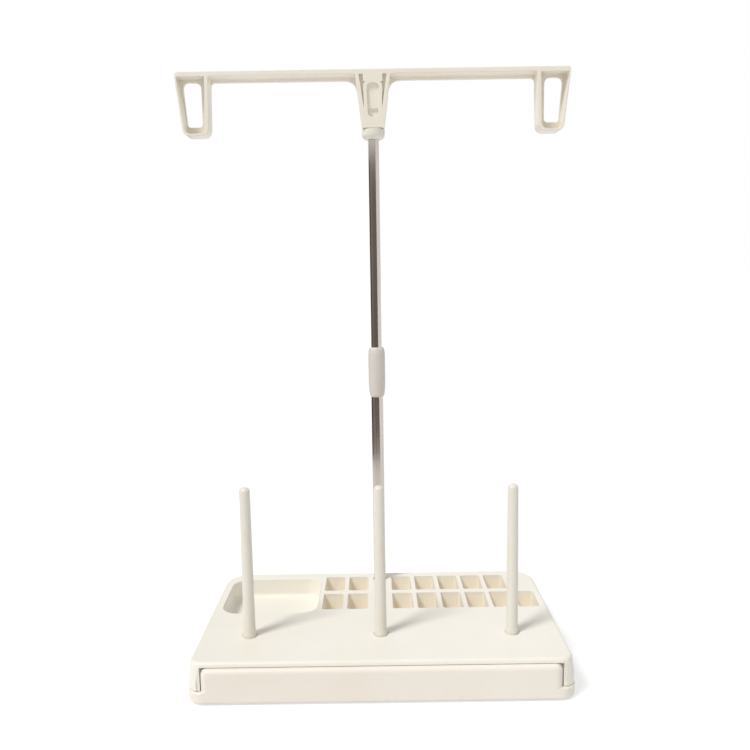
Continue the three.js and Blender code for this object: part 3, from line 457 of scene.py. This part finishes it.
def spool_pin(node, name):
    """A tapering pin that flares into its foot, with a socket spigot and a domed tip."""
    low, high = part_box(node)
    seat = low.z + PIN_SEAT_HEIGHT
    tip = reversed(quarter_round(PIN_TIP, PIN_DOME_HEIGHT))
    dome = [(PIN_TIP - inset, high.z - drop) for inset, drop in tip]
    profile = [
        (0, low.z),
        (PIN_SPIGOT - PIN_LEAD_IN, low.z),
        (PIN_SPIGOT, low.z + PIN_LEAD_IN),
        (PIN_SPIGOT, seat),
        (PIN_FOOT - PIN_FOOT_EDGE, seat),
        (PIN_FOOT, seat + PIN_FOOT_EDGE),
        *pin_flare(seat),
        *dome[:-1],
        (0, high.z),
    ]
    return turned(name, profile, centre_of(node))


def tube(node, name, wall):
    """A straight tube with broken outer edges."""
    low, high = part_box(node)
    outside = (high.x - low.x) / 2
    inside = outside - wall
    profile = [
        (inside, low.z),
        (outside - TUBE_EDGE, low.z),
        (outside, low.z + TUBE_EDGE),
        (outside, high.z - TUBE_EDGE),
        (outside - TUBE_EDGE, high.z),
        (inside, high.z),
        (inside, low.z),
    ]
    return turned(name, profile, centre_of(node))


def coupler(node, name):
    """The sleeve that joins the two tubes, rounded at both ends."""
    low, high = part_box(node)
    body = (high.x - low.x) / 2
    ring_bottom = low.z + RING_RISE
    ring_top = ring_bottom + RING_HEIGHT
    bottom = low.z + COUPLER_BEVEL
    top = high.z - COUPLER_BEVEL
    lower_nose = quarter_round(body - COUPLER_END, COUPLER_LOWER_NOSE)
    upper_nose = reversed(quarter_round(body - COUPLER_END, COUPLER_UPPER_NOSE))
    profile = [
        (COUPLER_LOWER_BORE, low.z),
        (COUPLER_END - COUPLER_BEVEL / 2, low.z),
        *[(body - inset, bottom + height) for inset, height in lower_nose],
        *[(body - inset, top - height) for inset, height in upper_nose],
        (COUPLER_END - COUPLER_BEVEL, high.z),
        (COUPLER_UPPER_BORE, high.z),
        (COUPLER_UPPER_BORE, ring_top),
        (RING_BORE, ring_top),
        (RING_BORE, ring_bottom),
        (COUPLER_LOWER_BORE, ring_bottom),
        (COUPLER_LOWER_BORE, low.z),
    ]
    return turned(name, profile, centre_of(node))


def collar(node, name):
    """The cup on the upper tube, with the spigot that the guide bar turns on."""
    low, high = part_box(node)
    outside = (high.x - low.x) / 2
    socket_top = low.z + COLLAR_SOCKET_DEPTH
    rim = low.z + COLLAR_HEIGHT
    lower_edge = quarter_round(COLLAR_ROUND, COLLAR_ROUND)
    profile = [
        (0, socket_top),
        (COLLAR_SOCKET, socket_top),
        (COLLAR_SOCKET, low.z),
        *[(outside - inset, low.z + height) for inset, height in lower_edge],
        (outside, rim - COLLAR_EDGE),
        (outside - COLLAR_EDGE, rim),
        (COLLAR_SPIGOT, rim),
        (COLLAR_SPIGOT, high.z - 2 * COLLAR_EDGE),
        (COLLAR_SPIGOT - 2 * COLLAR_EDGE, high.z),
        (0, high.z),
    ]
    return turned(name, profile, centre_of(node))


def dress_mouldings(housing_plastic):
    """The housing, the drawer and the guide bar."""
    housing = moulding("base_housing", "housing_moulding", BASE_EDGE)
    dress(housing, "base", "base_housing", housing_plastic)
    drawer = moulding("drawer", "drawer_moulding", BASE_EDGE)
    # The drawer's colour holds painted shade: a little darker than the housing
    drawer_plastic = moulded_plastic("drawer_plastic", SHADED_DRAWER_COLOUR)
    dress(drawer, "drawer", "drawer", drawer_plastic)
    bar = moulding("thread_guide_bar", "guide_bar_moulding", BAR_EDGE)
    bar_plastic = moulded_plastic("bar_plastic", BAR_COLOUR)
    dress(bar, "guide_bar", "thread_guide_bar", bar_plastic)


def dress_turned_pieces():
    """The three pins, the two tubes, the coupler between them and the collar."""
    pin_plastic = moulded_plastic("pin_plastic", PIN_COLOUR, POLISHED)
    for side in ("left", "centre", "right"):
        node = "spool_pin_" + side
        pin = spool_pin(node, "turned_pin_" + side)
        dress(pin, "pin_" + side, node, pin_plastic)
    steel = drawn_steel("tube_steel")
    lower_tube = tube("mast_lower_tube", "lower_tube", LOWER_TUBE_WALL)
    dress(lower_tube, "mast", "mast_lower_tube", steel)
    upper_tube = tube("mast_upper_tube", "upper_tube", UPPER_TUBE_WALL)
    dress(upper_tube, "mast_top", "mast_upper_tube", steel)
    sleeve = coupler("mast_coupler", "coupler_sleeve")
    sleeve_plastic = moulded_plastic("coupler_plastic", COUPLER_COLOUR, SMOOTH_SATIN)
    dress(sleeve, "mast", "mast_coupler", sleeve_plastic)
    cup = collar("mast_top_collar", "collar_cup")
    cup_plastic = moulded_plastic("collar_plastic", COLLAR_COLOUR, SMOOTH_SATIN)
    dress(cup, "mast_top", "mast_top_collar", cup_plastic)


def paint_plain_pieces(housing_plastic):
    """Materials for the CAD nodes that stay as they are."""
    plain = {
        "bottom_cover": housing_plastic,
        "mast_foot_plug": moulded_plastic("plug_plastic", PLUG_COLOUR, PLAIN),
        "upper_tube_slider": moulded_plastic("slider_plastic", PLUG_COLOUR, PLAIN),
        "coupler_friction_ring": plain_rubber("ring_rubber"),
    }
    foot_rubber = plain_rubber("foot_rubber")
    zinc = zinc_plate("screw_zinc")
    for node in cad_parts:
        if node.startswith("rubber_foot"):
            plain[node] = foot_rubber
        if node.startswith("cover_screw"):
            plain[node] = zinc
    for node, material in plain.items():
        paint(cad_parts[node], material)


def add_camera():
    """The camera at the photograph's place, which the scene is seen from."""
    data = bpy.data.cameras.new("photo_camera")
    data.sensor_width = SENSOR_WIDTH
    data.lens = FOCAL_LENGTH
    camera = new_object("photo_camera", data)
    turn = Matrix.Rotation(-CAMERA_YAW, 4, "Z") @ Matrix.Rotation(pi / 2 - CAMERA_PITCH, 4, "X")
    camera.matrix_world = Matrix.Translation(CAMERA_PLACE) @ turn @ Matrix.Rotation(CAMERA_ROLL, 4, "Z")
    bpy.context.scene.camera = camera


def add_key_light():
    """A soft key light that throws the stand's shadow to the right and back."""
    data = bpy.data.lights.new("key_light", "SUN")
    data.energy = KEY_STRENGTH
    data.angle = KEY_SPREAD
    light = new_object("key_light", data)
    light.location = KEY_FROM
    light.rotation_euler = Vector(KEY_FROM).to_track_quat("Z", "Y").to_euler()


def seen_directly(tree):
    """1 on rays that show the background to the camera, straight or by way of gloss or glass, else 0."""
    path = tree.nodes.new("ShaderNodeLightPath").outputs
    either = combined(tree, "MAXIMUM", path["Is Camera Ray"], path["Is Glossy Ray"])
    return combined(tree, "MAXIMUM", either, path["Is Transmission Ray"])


def add_world():
    """An even white surround, dimmer as the light that reaches the object than as it is seen."""
    world = bpy.data.worlds.new("studio_white")
    world.use_nodes = True
    tree = world.node_tree
    background = tree.nodes["Background"]
    background.inputs["Color"].default_value = (1, 1, 1, 1)
    strength = spread(tree, seen_directly(tree), SURROUND, 1)
    tree.links.new(strength, background.inputs["Strength"])
    bpy.context.scene.world = world


def add_floor():
    """A white floor that keeps the stand's soft shadow and is as white as the surround elsewhere."""
    bpy.ops.mesh.primitive_plane_add(size=FLOOR_SIZE, location=(0, 0, 0))
    floor = bpy.context.object
    floor.name = "studio_floor"
    material, tree = bare_material("floor_white")
    matt = tree.nodes.new("ShaderNodeBsdfDiffuse")
    matt.inputs["Color"].default_value = (*[FLOOR_COLOUR] * 3, 1)
    seen_matt = tree.nodes.new("ShaderNodeBsdfDiffuse")
    seen_matt.inputs["Color"].default_value = (*[SEEN_FLOOR_COLOUR] * 3, 1)
    glow = tree.nodes.new("ShaderNodeEmission")
    glow.inputs["Color"].default_value = (*[SEEN_FLOOR_GLOW] * 3, 1)
    bright = tree.nodes.new("ShaderNodeAddShader")
    tree.links.new(seen_matt.outputs["BSDF"], bright.inputs[0])
    tree.links.new(glow.outputs["Emission"], bright.inputs[1])
    chosen = tree.nodes.new("ShaderNodeMixShader")
    tree.links.new(seen_directly(tree), chosen.inputs["Fac"])
    tree.links.new(matt.outputs["BSDF"], chosen.inputs[1])
    tree.links.new(bright.outputs["Shader"], chosen.inputs[2])
    output = tree.nodes.new("ShaderNodeOutputMaterial")
    tree.links.new(chosen.outputs["Shader"], output.inputs["Surface"])
    floor.data.materials.append(material)


def card_mesh(centre):
    """An upright sheet bent to part of a circle about the mast."""
    work = bmesh.new()
    columns = []
    for k in range(CARD_STEPS + 1):
        angle = CARD_FROM + (CARD_TO - CARD_FROM) * k / CARD_STEPS
        x = centre.x + CARD_RADIUS * sin(angle)
        y = centre.y - CARD_RADIUS * cos(angle)
        columns.append((work.verts.new((x, y, 0)), work.verts.new((x, y, CARD_HEIGHT))))
    for (low, high), (next_low, next_high) in zip(columns, columns[1:]):
        work.faces.new((low, next_low, next_high, high))
    return finished_mesh("painted_reflection_card", work)


def card_material(centre):
    """Painted reflection: a dim banded glow that fades out towards the top of the card."""
    material, tree = bare_material("painted_reflection_glow")
    axes = own_axes(tree)
    fade = rise(tree, axes["Z"], CARD_FADE_START, CARD_FADE_END)
    forward = rise(tree, axes["Y"], centre.y + CARD_RADIUS, centre.y - CARD_RADIUS)
    bands = tree.nodes.new("ShaderNodeValToRGB")
    stops = bands.color_ramp.elements
    for _ in CARD_BANDS[2:]:
        stops.new(1.0)
    for stop, (position, brightness) in zip(stops, CARD_BANDS):
        stop.position = position
        stop.color = (*scaled(CARD_TINT, brightness), 1)
    tree.links.new(forward, bands.inputs["Fac"])
    # Painted reflection: the banded glow that the tubes reflect
    dim = tree.nodes.new("ShaderNodeEmission")
    tree.links.new(bands.outputs["Color"], dim.inputs["Color"])
    clear = tree.nodes.new("ShaderNodeBsdfTransparent")
    mixed = tree.nodes.new("ShaderNodeMixShader")
    tree.links.new(fade, mixed.inputs["Fac"])
    tree.links.new(dim.outputs["Emission"], mixed.inputs[1])
    tree.links.new(clear.outputs["BSDF"], mixed.inputs[2])
    output = tree.nodes.new("ShaderNodeOutputMaterial")
    tree.links.new(mixed.outputs["Shader"], output.inputs["Surface"])
    return material


def add_painted_reflection_card():
    """A dim glowing card for a painted reflection on the tubes, curved round the left side and the front of
    the stand, that only reflections meet.
    """
    centre = centre_of("mast_lower_tube")
    card = new_object("painted_reflection_card", card_mesh(centre))
    card.data.materials.append(card_material(centre))
    card.visible_camera = False
    card.visible_diffuse = False
    card.visible_transmission = False
    card.visible_shadow = False


base_plastic = housing_material()
dress_mouldings(base_plastic)
dress_turned_pieces()
paint_plain_pieces(base_plastic)
add_camera()
add_key_light()
add_world()
add_floor()
add_painted_reflection_card()
bpy.context.scene.view_settings.view_transform = "Standard"
